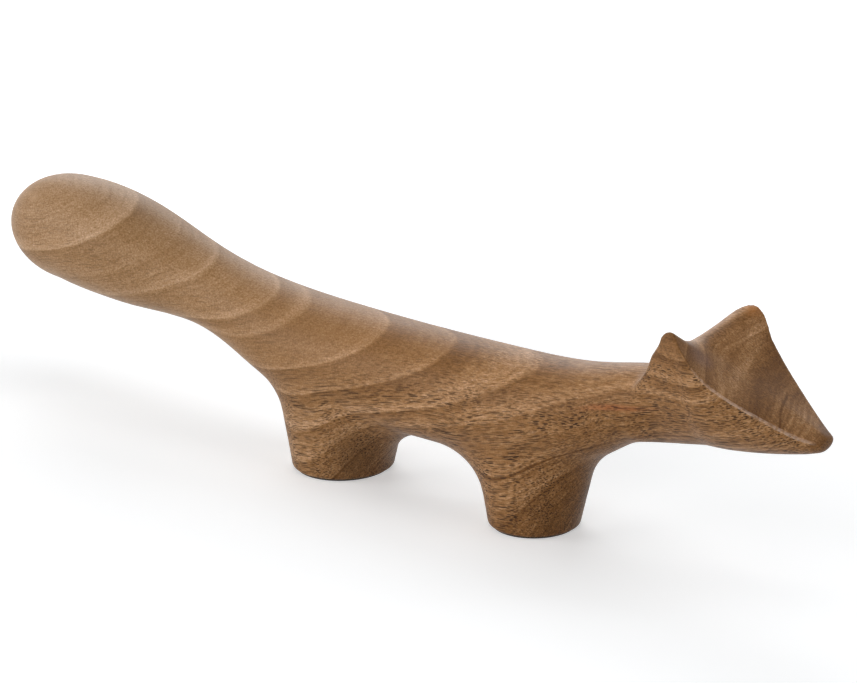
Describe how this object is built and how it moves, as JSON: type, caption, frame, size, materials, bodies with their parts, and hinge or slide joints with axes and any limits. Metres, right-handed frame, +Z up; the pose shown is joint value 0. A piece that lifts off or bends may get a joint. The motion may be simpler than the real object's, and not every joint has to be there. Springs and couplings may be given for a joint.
{
  "type": "fox figurine",
  "caption": "Stylised standing fox carved from walnut, with a long club tail, slim round body, flared feet and a shield-shaped face with pricked ears, for display on a shelf or desk.",
  "frame": {"origin": "on the table under the middle of the fox's length and width", "axes": "+X from the tail to the nose, +Y across the body to the fox's left, +Z up"},
  "size_m": [0.2674, 0.0322, 0.0656],
  "materials": {
    "walnut": "oiled walnut, satin",
    "felt": "thin dark felt"
  },
  "bodies": {
    "root": {"carved_fox": "walnut", "rear_foot_pad": "felt", "front_foot_pad": "felt"}
  },
  "joints": []
}
